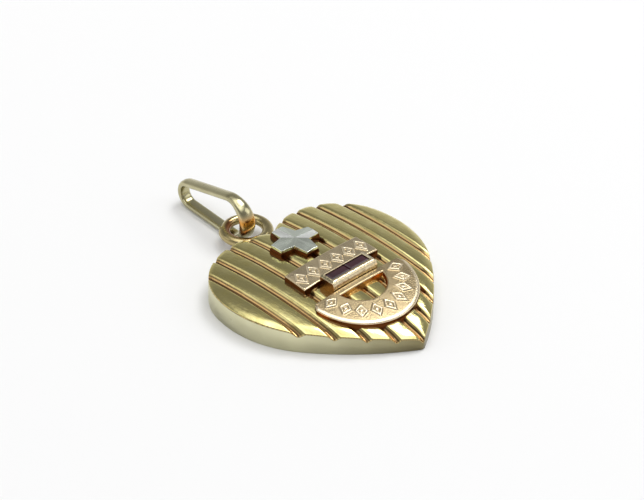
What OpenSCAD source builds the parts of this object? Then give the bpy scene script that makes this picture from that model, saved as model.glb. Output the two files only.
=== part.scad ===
// Heart pendant: a ribbed, domed gold heart with a cross, two plates, two red stones
// in a raised setting, an eyelet at the cleft and a loose oval bail.
// The flat back lies on z = 0, the tip points to -Y and the ribs run along Y.

/* [Heart] */
// Overall width across the lobes
heart_w = 15.6; // [13:0.1:18.6]
// Length from the top of the lobes to the tip
heart_l = 15.55; // [13.2:0.05:18.6]
// Depth of the cleft below the top of the lobes
cleft_d = 1.16; // [0.8:0.02:1.6]
// Radius of the shoulder, as a share of the way from a lobe's middle to the tip's
shoulder_share = 0.733; // [0.62:0.001:0.78]
// Radius of the long side from shoulder to tip
side_r = 21.6; // [18:0.1:30]
// Radius of the rounded tip
tip_r = 0.4; // [0.2:0.05:0.8]
// Thickness at the highest point of the domed front
heart_t = 2.45; // [2.1:0.05:3.2]
// Radius of the front's arch from tip to lobes
arch_r = 38.5; // [34:0.5:60]
// Fall of the front from the middle rib line to the side edge
side_fall = 0.65; // [0.3:0.05:0.9]
// Distance of the dome's highest point above the middle of the heart
dome_y = 2.6; // [0:0.1:3.5]

/* [Ribs] */
// Distance between two grooves
rib_pitch = 1.57; // [1.4:0.01:1.8]
// Number of grooves
groove_n = 9; // [7:2:9]
// Depth of a groove below its ribs
groove_d = 0.32; // [0.15:0.01:0.45]
// Width of a groove at the top
groove_w = 0.66; // [0.4:0.02:0.9]
// Height that a rib's crown rises above its shoulders
rib_crown = 0.06; // [0.02:0.01:0.12]

/* [Eyelet] */
// Bore of the eyelet ring
eyelet_bore = 2.2; // [2.1:0.05:2.6]
// Diameter of the eyelet's round wire
eyelet_wire = 0.68; // [0.5:0.02:0.8]
// Width of the solder root at the cleft
root_w = 1.5; // [1:0.1:2]
// Distance from the lobes' top to the middle of the eyelet
eyelet_reach = 1.63; // [1.5:0.01:2]

/* [Bail] */
// Inner radius of the bend that passes through the eyelet
bail_near_r = 1.29; // [1.2:0.01:1.4]
// Inner radius of the bend at the chain's end
bail_far_r = 0.66; // [0.5:0.02:0.9]
// Distance between the middles of the two bends
bail_span = 4.7; // [4:0.1:6]
// Width of the bail's wire
bail_w = 0.96; // [0.6:0.02:1]
// Thickness of the bail's wire
bail_t = 0.46; // [0.36:0.02:0.56]
// Angle by which the bail lies turned to the right
bail_turn = 4.4; // [0:0.2:8]
// Sideways place of the bail in the eyelet
bail_x = -0.2; // [-0.3:0.05:0.3]

/* [Cross] */
// Length of the cross across both arms
cross_l = 3.5; // [2.8:0.1:3.8]
// Width of an arm at its end
cross_arm_w = 1; // [0.8:0.05:1.2]
// Width of an arm where it meets the next two
cross_root_w = 1.36; // [1.24:0.02:1.5]
// Distance from the cleft down to the cross
cross_gap = 0.325; // [0.05:0.005:0.5]
// Height of the cross's arms above the ribs
cross_h = 0.45; // [0.3:0.05:0.5]
// Thickness of the white gold at the end of an arm
cross_t = 0.16; // [0.1:0.02:0.3]
// Rise of the white gold from an arm's end to the middle
cross_rise = 0.1; // [0.04:0.02:0.16]
// Margin of the backing around the cross
cross_rim = 0.07; // [0.02:0.01:0.12]

/* [Plates] */
// Sideways place of the cross, the plates and the stones
stack_x = -0.1; // [-0.2:0.05:0.2]
// Height of the plates above the ribs
plate_h = 0.32; // [0.2:0.02:0.45]
// Depth to which the plates are let into the ribs
seat_d = 0.22; // [0.2:0.01:0.26]
// Width of the upper plate at its top edge
upper_w = 6.7; // [5.4:0.1:7]
// Gap between the cross and the upper plate
upper_gap = 0.68; // [0.4:0.01:1]
// Widening of the upper plate's sides towards the stones
upper_flare = 0.1; // [0:0.05:0.3]
// Distance from the lower half ring to the tip
ring_gap = 1.96; // [1.5:0.01:2.4]
// Width of the lower half ring's band
band_w = 2.2; // [1.9:0.05:2.4]
// Width of the straight bar across the half ring
bar_w = 0.35; // [0.3:0.05:0.7]
// Gap between the setting and the straight bar
bar_gap = 0.18; // [0.1:0.02:0.3]
// Height of the raised ornaments
relief_h = 0.12; // [0.06:0.02:0.2]

/* [Stones] */
// Length of the window that holds both stones
window_l = 3.54; // [2.9:0.02:3.7]
// Width of the window
window_w = 0.8; // [0.6:0.02:0.86]
// Width of the setting's rim around the window
rim_w = 0.15; // [0.1:0.01:0.24]
// Height of the setting above the ribs
setting_h = 0.7; // [0.56:0.02:0.9]
// Widening of the setting towards its foot at the ends
setting_splay = 0.14; // [0.06:0.02:0.24]
// Widening of the setting's rounded front towards its foot
setting_bulge = 0.3; // [0.2:0.02:0.4]
// Place of the stones' middle below the middle of the heart
stone_y = 0.6; // [0.54:0.02:0.7]
// Height of a stone
stone_h = 0.42; // [0.3:0.02:0.5]
// Width of the bevel around a stone's table
stone_bevel = 0.12; // [0.06:0.02:0.2]

/* [Hidden] */
$fn = 96;

tip_y = tip_r - heart_l / 2;

// A lobe's arc touches the top line, starts at the cleft and runs into the shoulder's arc at
// lobe_turn, so that lobe_x = lobe_out - lobe_in * lobe_r, which leaves one radius
lobe_turn = 15;
lobe_lean = shoulder_share * (1 - cos(lobe_turn));
lobe_out = heart_w / 2 - lobe_lean * (heart_l - tip_r);
lobe_in = cos(lobe_turn) - lobe_lean;
lobe_sum = lobe_out * lobe_in + cleft_d;
lobe_r = (lobe_sum - sqrt(pow(lobe_sum, 2) - pow(lobe_in, 2) * (pow(lobe_out, 2) + pow(cleft_d, 2))))
    / pow(lobe_in, 2);
lobe_x = lobe_out - lobe_in * lobe_r;
lobe_y = heart_l / 2 - lobe_r;
cleft_y = heart_l / 2 - cleft_d;
cleft_turn = 180 - asin((cleft_y - lobe_y) / lobe_r);

shoulder_r = shoulder_share * (lobe_y - tip_y);
shoulder_x = heart_w / 2 - shoulder_r;
shoulder_y = lobe_y - (shoulder_r - lobe_r) * sin(lobe_turn);

// The side's arc touches the shoulder's and the tip's from outside
tip_run = norm([shoulder_x, shoulder_y - tip_y]);
tip_lean = atan2(tip_y - shoulder_y, -shoulder_x);
side_away = side_r - shoulder_r;
side_open = acos((pow(side_away, 2) + pow(tip_run, 2) - pow(side_r - tip_r, 2)) / (2 * side_away * tip_run));
side_x = shoulder_x + side_away * cos(tip_lean - side_open);
side_y = shoulder_y + side_away * sin(tip_lean - side_open);
side_turn = atan2(shoulder_y - side_y, shoulder_x - side_x);
tip_turn = atan2(tip_y - side_y, -side_x);
spare = 1;

axis_z = heart_t - arch_r;
arch_sweep = 2 * asin((heart_l / 2 + dome_y + spare) / arch_r);
side_grooves = (groove_n - 1) / 2;

wire_r = eyelet_wire / 2;
eyelet_r = (eyelet_bore + eyelet_wire) / 2;
eyelet_y = heart_l / 2 + eyelet_reach;
run_gap = 0.1;
table_gap = 0.02;
wire_side = 65;
wire_play = bail_near_r - wire_r - run_gap;
bail_z = table_gap + bail_t + bail_near_r;
bail_y = eyelet_y + eyelet_r - wire_play * cos(wire_side);
eyelet_z = bail_z - wire_play * sin(wire_side);
bail_taper = asin((bail_near_r - bail_far_r) / bail_span);
limb_l = bail_span * cos(bail_taper);
bail_dome_r = 0.7 * bail_w;

cross_y = cleft_y - cross_gap - cross_rim - cross_l / 2;
setting_top = heart_t + setting_h;
rim_front_y = -stone_y - window_w / 2 - rim_w;
setting_front_y = rim_front_y - setting_bulge;
bar_y = setting_front_y - bar_gap;
ring_r = heart_l / 2 + bar_y - ring_gap;
upper_front_y = -stone_y + window_w / 2 + rim_w;
upper_y = cross_y - cross_l / 2 - cross_rim - upper_gap;
upper_l = upper_y - upper_front_y;
ledge_gap = 0.02;
fit_gap = 0.01;
stone_l = window_l / 2 - 1.5 * fit_gap;

// Height of the cylinder of a given radius about the arch's axis, at a place along Y
function arch_z(r, y) = axis_z + sqrt(r * r - (y - dome_y) * (y - dome_y));

// Fall of the front at a distance from the middle line
function fall(x) = side_fall * pow(2 * x / heart_w, 2);

// Points of one rib's upper line, from its left groove to its right shoulder
function rib_line(i) = let (
    left = (i - 0.5) * rib_pitch,
    flat = (rib_pitch - groove_w) / 2
) [
    if (abs(i - 0.5) < side_grooves + 0.1) [left, -groove_d],
    [i * rib_pitch - flat, -rib_crown],
    [i * rib_pitch - flat / 2, -rib_crown / 4],
    [i * rib_pitch, 0],
    [i * rib_pitch + flat / 2, -rib_crown / 4],
    [i * rib_pitch + flat, -rib_crown]
];

// Points of an arc about a centre, from its first angle up to just before its last
function arc(centre, r, from, to, n) = [
    for (i = [0 : n - 1]) let (turn = from + (to - from) * i / n) centre + r * [cos(turn), sin(turn)]
];

// Right half of the outline, from the tip round to the cleft
half_outline = concat(
    arc([0, tip_y], tip_r, -90, tip_turn, 5),
    arc([side_x, side_y], side_r, tip_turn, side_turn, 8),
    arc([shoulder_x, shoulder_y], shoulder_r, side_turn, lobe_turn, 14),
    arc([lobe_x, lobe_y], lobe_r, lobe_turn, cleft_turn, 30)
);

module heart_2d() {
    left_half = [for (i = [len(half_outline) - 1 : -1 : 1]) [-half_outline[i][0], half_outline[i][1]]];
    polygon(concat(half_outline, [[0, cleft_y]], left_half));
}

module heart_prism(h) {
    linear_extrude(h) heart_2d();
}

// Section across the ribs, with X as the distance from the arch's axis
module rib_section() {
    low = arch_r - heart_t - spare;
    edge = heart_w / 2 + spare;
    rise = [for (i = [-side_grooves - 0.5 : side_grooves + 0.5]) each rib_line(i)];
    polygon([
        [low, -edge],
        for (p = rise) [arch_r + p[1] - fall(p[0]), p[0]],
        [arch_r - rib_crown - fall(edge), edge],
        [low, edge]
    ]);
}

module ribbed_arch() {
    translate([0, dome_y, axis_z])
        rotate([0, -90, 0])
            rotate([0, 0, -arch_sweep / 2])
                rotate_extrude(angle = arch_sweep, $fn = 720) rib_section();
}

// Slab between two radii about the arch's axis
module arch_slab(inner, outer) {
    translate([-heart_w, dome_y, axis_z]) rotate([0, 90, 0]) difference() {
        cylinder(h = 2 * heart_w, r = outer, $fn = 720);
        translate([0, 0, -spare]) cylinder(h = 2 * (heart_w + spare), r = inner, $fn = 720);
    }
}

module arched_plate(inner, outer) {
    intersection() {
        linear_extrude(2 * heart_t) children();
        arch_slab(inner, outer);
    }
}

module setting_2d() {
    foot_x = window_l / 2 + rim_w + setting_splay;
    translate([stack_x - foot_x, setting_front_y]) square([2 * foot_x, upper_front_y - setting_front_y]);
}

module upper_plate_2d() {
    translate([stack_x, 0]) polygon([
        [-upper_w / 2, upper_y],
        [-upper_w / 2 - upper_flare, upper_front_y],
        [upper_w / 2 + upper_flare, upper_front_y],
        [upper_w / 2, upper_y]
    ]);
}

module half_ring_2d() {
    hole_half = ring_r - band_w;
    hole_deep = ring_r - band_w - bar_w;
    hole_r = (hole_half * hole_half + hole_deep * hole_deep) / (2 * hole_deep);
    translate([stack_x, bar_y]) difference() {
        intersection() {
            circle(ring_r, $fn = 180);
            translate([-ring_r, -ring_r]) square([2 * ring_r, ring_r]);
        }
        intersection() {
            translate([0, hole_r - hole_deep - bar_w]) circle(hole_r, $fn = 120);
            translate([-ring_r, -ring_r]) square([2 * ring_r, ring_r - bar_w]);
        }
    }
}

// Cross whose arms narrow towards their ends
module cross_2d(margin) {
    end = cross_arm_w / 2 + margin;
    root = cross_root_w / 2 + margin;
    reach = cross_l / 2 + margin;
    arm = [[reach, -end], [reach, end], [root, root]];
    translate([stack_x, cross_y])
        polygon([for (turn = [0 : 90 : 270]) each arm * [[cos(turn), sin(turn)], [-sin(turn), cos(turn)]]]);
}

module heart_body() {
    color("darkkhaki") difference() {
        intersection() {
            heart_prism(2 * heart_t);
            ribbed_arch();
        }
        arched_plate(arch_r - seat_d, arch_r + spare) {
            setting_2d();
            upper_plate_2d();
            half_ring_2d();
            cross_2d(cross_rim);
        }
    }
}

module eyelet() {
    color("darkkhaki") {
        translate([0, eyelet_y, eyelet_z])
            rotate_extrude() translate([eyelet_r, 0]) circle(wire_r, $fn = 48);
        difference() {
            translate([0, 0, eyelet_z - wire_r * 0.8]) linear_extrude(wire_r * 1.6) polygon([
                [-root_w / 2, cleft_y - 0.5],
                [root_w / 2, cleft_y - 0.5],
                [root_w / 2, cleft_y + 0.6],
                [wire_r, eyelet_y - eyelet_r],
                [-wire_r, eyelet_y - eyelet_r],
                [-root_w / 2, cleft_y + 0.6]
            ]);
            translate([0, 0, -spare]) heart_prism(2 * heart_t);
        }
    }
}

// Section of the bail's wire: flat inside, domed outside
module bail_section(inner) {
    translate([inner, 0]) intersection() {
        translate([0, -bail_w / 2]) square([bail_t, bail_w]);
        translate([bail_t - bail_dome_r, 0]) circle(bail_dome_r, $fn = 64);
    }
}

module bail_limb() {
    rotate([0, 0, 90 - bail_taper])
        rotate([90, 0, 0])
            linear_extrude(limb_l) bail_section(bail_near_r);
}

// The loop lies in the XY plane with the eyelet's bend at the origin and the chain's end at +X
module bail_loop() {
    rotate([0, 0, 90 - bail_taper])
        rotate_extrude(angle = 180 + 2 * bail_taper, $fn = 120) bail_section(bail_near_r);
    translate([bail_span, 0, 0])
        rotate([0, 0, -90 + bail_taper])
            rotate_extrude(angle = 180 - 2 * bail_taper, $fn = 96) bail_section(bail_far_r);
    bail_limb();
    mirror([0, 1, 0]) bail_limb();
}

module bail() {
    color("darkkhaki")
        translate([bail_x, bail_y, bail_z])
            rotate([0, 0, -bail_turn])
                rotate([0, 90, 0])
                    rotate([0, 0, 90 - bail_taper])
                        bail_loop();
}

// Two gables crossed at right angles, whose faces meet along the diagonals of the cross
module cross_roof() {
    top = arch_z(arch_r + cross_h, cross_y) + cross_rise;
    reach = cross_l;
    eaves = top - 2 * cross_rise * reach / cross_l;
    gable = [[-reach, 0], [reach, 0], [reach, eaves], [0, top], [-reach, eaves]];
    translate([stack_x, cross_y, 0]) intersection() {
        translate([0, reach, 0]) rotate([90, 0, 0]) linear_extrude(2 * reach) polygon(gable);
        translate([-reach, 0, 0]) rotate([90, 0, 90]) linear_extrude(2 * reach) polygon(gable);
    }
}

module cross_floor_cut() {
    translate([0, 0, arch_z(arch_r + cross_h, cross_y) - cross_t]) linear_extrude(heart_t) children();
}

module cross() {
    color("gainsboro") intersection() {
        cross_roof();
        cross_floor_cut() cross_2d(0);
    }
}

module cross_backing() {
    color("rosybrown") difference() {
        arched_plate(arch_r - seat_d, arch_r + 2 * cross_h) cross_2d(cross_rim);
        cross_floor_cut() square(4 * heart_w, center = true);
    }
}

module lozenge(l, w) {
    polygon([[-l / 2, 0], [0, -w / 2], [l / 2, 0], [0, w / 2]]);
}

module upper_plate() {
    mid_y = upper_front_y + upper_l / 2;
    step = upper_w / 6;
    color("rosybrown") {
        arched_plate(arch_r - seat_d, arch_r + plate_h) upper_plate_2d();
        for (i = [-2.5 : 2.5])
            arched_plate(arch_r, arch_r + plate_h + relief_h)
                translate([stack_x + i * step, mid_y]) lozenge(0.62 * step, 0.6 * upper_l);
    }
}

module lower_plate() {
    leaf_n = 9;
    mid_r = ring_r - band_w / 2;
    color("rosybrown") {
        arched_plate(arch_r - seat_d, arch_r + plate_h) half_ring_2d();
        for (i = [0 : leaf_n - 1])
            arched_plate(arch_r, arch_r + plate_h + relief_h)
                translate([stack_x, bar_y])
                    rotate(180 + (i + 0.5) * 180 / leaf_n)
                        translate([mid_r, 0]) lozenge(0.55 * band_w, 0.2 * mid_r);
    }
}

// The ends slope, and the front rounds from the rim down to its foot
module setting_block() {
    rim_x = window_l / 2 + rim_w;
    foot_x = rim_x + setting_splay;
    foot_z = heart_t + plate_h / 2;
    translate([stack_x, 0, 0]) intersection() {
        translate([0, upper_front_y, 0]) rotate([90, 0, 0]) linear_extrude(upper_front_y - setting_front_y) polygon([
            [-foot_x, 0], [foot_x, 0], [foot_x, heart_t],
            [rim_x, setting_top], [-rim_x, setting_top], [-foot_x, heart_t]
        ]);
        translate([-foot_x, 0, 0]) rotate([90, 0, 90]) linear_extrude(2 * foot_x) polygon([
            [setting_front_y, 0], [upper_front_y, 0], [upper_front_y, setting_top],
            for (turn = [0 : 15 : 90])
                [rim_front_y - setting_bulge * sin(turn), foot_z + (setting_top - foot_z) * cos(turn)]
        ]);
    }
}

module stone_setting() {
    color("palegoldenrod") difference() {
        intersection() {
            setting_block();
            arch_slab(arch_r - seat_d, arch_r + 2 * setting_h);
        }
        translate([stack_x - window_l / 2, -stone_y - window_w / 2, setting_top - stone_h - ledge_gap])
            cube([window_l, window_w, heart_t]);
    }
}

// Straight-cut stone with a bevel around its table
module stone(side) {
    w = window_w - 2 * fit_gap;
    base = setting_top - stone_h - ledge_gap;
    girdle = stone_h - stone_bevel;
    translate([stack_x + side * (stone_l + fit_gap) / 2, -stone_y, base]) intersection() {
        translate([0, w / 2, 0]) rotate([90, 0, 0]) linear_extrude(w) polygon([
            [-stone_l / 2, 0], [stone_l / 2, 0], [stone_l / 2, girdle],
            [stone_l / 2 - stone_bevel, stone_h], [-stone_l / 2 + stone_bevel, stone_h], [-stone_l / 2, girdle]
        ]);
        translate([-stone_l / 2, 0, 0]) rotate([90, 0, 90]) linear_extrude(stone_l) polygon([
            [-w / 2, 0], [w / 2, 0], [w / 2, girdle],
            [w / 2 - stone_bevel, stone_h], [-w / 2 + stone_bevel, stone_h], [-w / 2, girdle]
        ]);
    }
}

module stone_left() {
    color("maroon") stone(-1);
}

module stone_right() {
    color("maroon") stone(1);
}

heart_body();
eyelet();
bail();
cross();
cross_backing();
upper_plate();
stone_setting();
stone_left();
stone_right();
lower_plate();
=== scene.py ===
"""Heart pendant: the looks of a ribbed gold heart with its cross, plates, stones, eyelet and bail."""
import math

import bpy
import numpy as np
from mathutils import Matrix, Vector
from mathutils.geometry import delaunay_2d_cdt


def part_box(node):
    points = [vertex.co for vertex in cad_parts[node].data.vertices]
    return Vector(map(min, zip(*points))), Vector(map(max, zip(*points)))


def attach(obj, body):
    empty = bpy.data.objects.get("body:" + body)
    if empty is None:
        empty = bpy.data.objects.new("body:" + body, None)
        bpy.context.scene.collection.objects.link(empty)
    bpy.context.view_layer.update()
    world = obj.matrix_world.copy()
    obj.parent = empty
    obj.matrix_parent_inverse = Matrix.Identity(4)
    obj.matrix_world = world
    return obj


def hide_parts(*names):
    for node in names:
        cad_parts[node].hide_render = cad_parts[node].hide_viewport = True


MM = 0.001

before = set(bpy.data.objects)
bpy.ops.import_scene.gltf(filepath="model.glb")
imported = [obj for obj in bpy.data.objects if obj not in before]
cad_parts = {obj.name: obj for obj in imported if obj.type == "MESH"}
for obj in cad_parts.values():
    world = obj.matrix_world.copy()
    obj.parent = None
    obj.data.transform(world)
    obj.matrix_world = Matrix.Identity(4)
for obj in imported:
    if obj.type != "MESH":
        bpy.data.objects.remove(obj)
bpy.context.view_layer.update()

# Camera, from the photograph's perspective, in degrees and millimetres
CAMERA_TURN = -44.606
CAMERA_RISE = 35.18
CAMERA_ROLL = 0.528
CAMERA_AWAY = 285.08
FOCAL = 235.3
SENSOR = 36
PHOTO_W = 644
PHOTO_H = 500
ORIGIN_PX = (341.52, 299.99)


def node_box(node):
    """Corners of a CAD node's box, in millimetres."""
    return [np.array(corner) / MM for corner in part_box(node)]


# Heart, in millimetres
LOW, HIGH = node_box("heart_body")
HEART_W = HIGH[0] - LOW[0]
HEART_L = HIGH[1] - LOW[1]
CROWN_FALL = 0.007
HEART_T = HIGH[2] - LOW[2] + CROWN_FALL
CLEFT_D = 1.16
SHOULDER_SHARE = 0.733
SIDE_R = 21.6
TIP_R = 0.4
LOBE_TURN = math.radians(15)
CLEFT_FILLET = 0.08
TIP_POINTS = 8
SIDE_POINTS = 120
SHOULDER_POINTS = 110
LOBE_POINTS = 150
CLEFT_POINTS = 8
ARCH_R = 38.5
SIDE_FALL = 0.65
DOME_Y = 2.6

# Ribs, with a groove in the middle and four to each side of it
PITCH = 1.57
GROOVES = 4
GROOVE_HALF = 0.21
GROOVE_D = 0.24
GROOVE_SOFT = 0.08
RIB_CROWN = 0.06

# Plates and stones
STACK_X = sum(corner[0] for corner in node_box("upper_plate")) / 2
PLATE_H = 0.37
RELIEF = 0.1
WINDOW_L = 3.54
WINDOW_W = 0.8
STONE_Y = 0.6
BAND_W = 2.2
BAR_W = 0.35


# Shapes of the heart's front and outline

def dome_z(x, y):
    """Height of the smooth dome that the ribs stand on."""
    arch = ARCH_R - np.sqrt(ARCH_R**2 - (y - DOME_Y) ** 2)
    return HEART_T - arch - SIDE_FALL * (2 * x / HEART_W) ** 2


def ramp(value, soft):
    """Rises from nought at a slope of one, with a rounded start of half-width soft."""
    bent = (value + soft) ** 2 / (4 * soft)
    return np.where(value <= -soft, 0, np.where(value >= soft, value, bent))


def groove_offset(x):
    """Distance from the nearest groove's middle line."""
    return np.abs(x - np.clip(np.round(x / PITCH), -GROOVES, GROOVES) * PITCH)


def groove_depth(x):
    """Depth below the ribs' shoulders, in a groove with a rounded bottom and shoulders."""
    round_off = np.sqrt(groove_offset(x) ** 2 + GROOVE_SOFT**2) - GROOVE_SOFT
    return ramp(GROOVE_HALF - round_off, GROOVE_SOFT) * GROOVE_D / GROOVE_HALF


def ribs_z(x):
    """Depth of the grooves and of the ribs' shoulders below their crowns."""
    return groove_depth(x) + RIB_CROWN * np.clip(1 - groove_offset(x) / (PITCH / 2), -1, 1) ** 2


def heart_arcs():
    """Arcs of the outline's right half, from the tip to the cleft.

    Each is its centre, radius, first and last angle, +1 where the metal is inside it, and count of points.
    """
    tip_y = TIP_R - HEART_L / 2
    lean = SHOULDER_SHARE * (1 - math.cos(LOBE_TURN))
    out = HEART_W / 2 - lean * (HEART_L - TIP_R)
    into = math.cos(LOBE_TURN) - lean
    total = out * into + CLEFT_D
    lobe_r = (total - math.sqrt(total**2 - into**2 * (out**2 + CLEFT_D**2))) / into**2
    lobe = np.array([out - into * lobe_r, HEART_L / 2 - lobe_r])
    shoulder_r = SHOULDER_SHARE * (lobe[1] - tip_y)
    shoulder = np.array([HEART_W / 2 - shoulder_r, lobe[1] - (shoulder_r - lobe_r) * math.sin(LOBE_TURN)])
    tip = np.array([0, tip_y])
    run = tip - shoulder
    away = SIDE_R - shoulder_r
    opening = math.acos((away**2 + run @ run - (SIDE_R - TIP_R) ** 2) / (2 * away * math.hypot(*run)))
    toward = math.atan2(run[1], run[0]) - opening
    side = shoulder + away * np.array([math.cos(toward), math.sin(toward)])
    side_turn = math.atan2(*(shoulder - side)[::-1])
    tip_turn = math.atan2(*(tip - side)[::-1])
    reach = lobe_r + CLEFT_FILLET
    cleft = np.array([0, lobe[1] + math.sqrt(reach**2 - lobe[0] ** 2)])
    cleft_turn = math.atan2(*(cleft - lobe)[::-1])
    return [
        (tip, TIP_R, -math.pi / 2, tip_turn, 1, TIP_POINTS),
        (side, SIDE_R, tip_turn, side_turn, 1, SIDE_POINTS),
        (shoulder, shoulder_r, side_turn, LOBE_TURN, 1, SHOULDER_POINTS),
        (lobe, lobe_r, LOBE_TURN, cleft_turn, 1, LOBE_POINTS),
        (cleft, CLEFT_FILLET, cleft_turn - math.pi, -math.pi / 2, -1, CLEFT_POINTS),
    ]


ARCS = heart_arcs()
CLEFT_Y = ARCS[-1][0][1] - CLEFT_FILLET


def heart_loop(inset):
    """The whole outline, drawn in by inset, counter-clockwise from the tip."""
    half = []
    for centre, r, start, stop, inside, n in ARCS:
        turn = start + (stop - start) * np.arange(n)[:, None] / n
        half.append(centre + (r - inside * inset) * np.hstack([np.cos(turn), np.sin(turn)]))
    half = np.vstack(half)
    top = np.array([[0, CLEFT_Y - inset]])
    mirrored = half[:0:-1] * [-1, 1]
    return np.vstack([half, top, mirrored])


# Mesh tools

# A loop this far below the rounding keeps the wall flat; with it the wall takes three levels of faces
WALL_LOOP = 0.04
WALL_LEVELS = 3

# Grid points keep this far from the rim, and a corner is mitred no sharper than this cosine
RIM_CLEARANCE = 0.02
SHARPEST_MITRE = 0.5

# Below these a line counts as level and two points as one
LEVEL = 1e-12
MERGE_WITHIN = 1e-7

# Where the feet of the pieces on the front end, hidden in the heart
FOOT_LEVEL = 1.9


def loop_inset(loop, share=1):
    """A function that draws a closed loop in by a distance, with mitred corners.

    With an array for share, each point goes in by its share of the distance.
    """
    before = loop - np.roll(loop, 1, axis=0)
    after = np.roll(loop, -1, axis=0) - loop
    before /= np.linalg.norm(before, axis=1)[:, None]
    after /= np.linalg.norm(after, axis=1)[:, None]
    normal = (before + after)[:, ::-1] * [-1, 1]
    normal /= np.linalg.norm(normal, axis=1)[:, None]
    cosine = np.clip(np.sum(normal * (after[:, ::-1] * [-1, 1]), axis=1), SHARPEST_MITRE, 1)
    return lambda inset: loop + normal * (inset * share / cosine)[:, None]


def measure(points, loop):
    """Distance from each point to a closed loop, and whether it is inside."""
    a, b = loop, np.roll(loop, -1, axis=0)
    far = np.full(len(points), np.inf)
    crossings = np.zeros(len(points), int)
    for p, q, v in zip(a, b, b - a):
        w = points - p
        t = np.clip((w @ v) / (v @ v), 0, 1)
        far = np.minimum(far, np.hypot(*(w - t[:, None] * v).T))
        spans = (p[1] > points[:, 1]) != (q[1] > points[:, 1])
        if abs(v[1]) > LEVEL:
            crossings += spans & (points[:, 0] < p[0] + (points[:, 1] - p[1]) * v[0] / v[1])
    return far, crossings % 2 == 1


def triangulate(loops, inner):
    """Triangles over the area inside the first loop and outside the others, through the inner points."""
    points = np.vstack(loops + [inner]) if len(inner) else np.vstack(loops)
    edges = []
    start = 0
    for loop in loops:
        n = len(loop)
        edges += [(start + i, start + (i + 1) % n) for i in range(n)]
        start += n
    found = delaunay_2d_cdt([Vector(p) for p in points], edges, [], 0, MERGE_WITHIN)
    faces = np.array([f for f in found[2] if len(f) == 3])
    originals = [o[0] if o else -1 for o in found[3]]
    faces = np.array([[originals[i] for i in f] for f in faces])
    middles = points[faces].mean(axis=1)
    keep = measure(middles, loops[0])[1]
    for hole in loops[1:]:
        keep &= ~measure(middles, hole)[1]
    return faces[keep]


def mesh_object(name, verts, faces, sharp=None):
    """A smooth-shaded object from points in millimetres, with edges over the angle sharp left crisp."""
    mesh = bpy.data.meshes.new(name)
    mesh.from_pydata((np.asarray(verts) * MM).tolist(), [], [tuple(int(i) for i in f) for f in faces])
    mesh.validate()
    mesh.shade_smooth()
    if sharp:
        mesh.set_sharp_from_angle(angle=math.radians(sharp))
    piece = bpy.data.objects.new(name, mesh)
    bpy.context.scene.collection.objects.link(piece)
    return piece


def relief_solid(name, insets, edges, top, base, grid, foot=0):
    """A solid with a shaped top over the area between loops, whose sides get the second material.

    insets draw its loops in, edges hold the (inset, drop) pairs of each loop from its rim inward,
    top(x, y, away) is the height at a distance from the rim, base the level of the flat foot and
    foot the bevel round it.
    """
    verts, faces, rings = [], [], []
    rims = [inset(foot) for inset in insets]

    def put(points, z):
        start = sum(len(v) for v in verts)
        verts.append(np.column_stack([points, np.broadcast_to(z, len(points))]))
        return start + np.arange(len(points))

    for inset, rim, edge in zip(insets, rims, edges):
        column = [put(rim, base), put(inset(0), base + foot)]
        for away, drop in edge:
            points = inset(away)
            column.append(put(points, top(points[:, 0], points[:, 1], away) - drop))
        rings.append(column)
    for level in range(max(len(column) for column in rings) - 1):
        for column in rings:
            if level + 1 < len(column):
                low, high = column[level], column[level + 1]
                faces += [(a, b, c, d) for a, b, c, d in
                          zip(low, np.roll(low, -1), np.roll(high, -1), high)]
        if level < WALL_LEVELS:
            side_faces = len(faces)
    inner_loops = [inset(edge[-1][0]) for inset, edge in zip(insets, edges)]
    keep = measure(grid, inner_loops[0])[1]
    away = np.full(len(grid), np.inf)
    for i, (hole, edge) in enumerate(zip(inner_loops, edges)):
        far, inside = measure(grid, hole)
        keep &= (inside if i == 0 else ~inside) & (far > RIM_CLEARANCE)
        away = np.minimum(away, far + edge[-1][0])
    inner, away = grid[keep], away[keep]
    cover = put(inner, top(inner[:, 0], inner[:, 1], away))
    index = np.concatenate([column[-1] for column in rings] + [cover])
    faces += [tuple(index[list(f)]) for f in triangulate(inner_loops, inner)]
    top_faces = len(faces)
    index = np.concatenate([column[0] for column in rings])
    faces += [tuple(index[list(f)][::-1]) for f in triangulate(rims, np.empty((0, 2)))]
    piece = mesh_object(name, np.vstack(verts), faces)
    side = np.ones(len(piece.data.polygons), int)
    side[side_faces:top_faces] = 0
    piece.data.materials.append(None)
    piece.data.materials.append(None)
    piece.data.polygons.foreach_set("material_index", side)
    return piece


def rounded_edge(reach, drop, steps, inner=()):
    """(inset, drop) pairs of an elliptic quarter from the wall to the top, and of loops further in."""
    turns = [math.pi / 2 * i / steps for i in range(steps + 1)]
    quarter = [(reach * (1 - math.cos(t)), drop * (1 - math.sin(t))) for t in turns]
    return [(0, drop + WALL_LOOP)] + quarter + [(away, 0) for away in inner]


def loft(name, rings, closed=False, sharp=None):
    """A skin over rings of equally many points; its ends are capped, or joined where it is closed."""
    count = len(rings[0])
    faces = []
    for i in range(len(rings) if closed else len(rings) - 1):
        a, b = i * count, (i + 1) % len(rings) * count
        faces += [(a + j, a + (j + 1) % count, b + (j + 1) % count, b + j) for j in range(count)]
    if not closed:
        faces.append(tuple(range(count))[::-1])
        faces.append(tuple(range((len(rings) - 1) * count, len(rings) * count)))
    return mesh_object(name, np.vstack(rings), faces, sharp)


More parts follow.
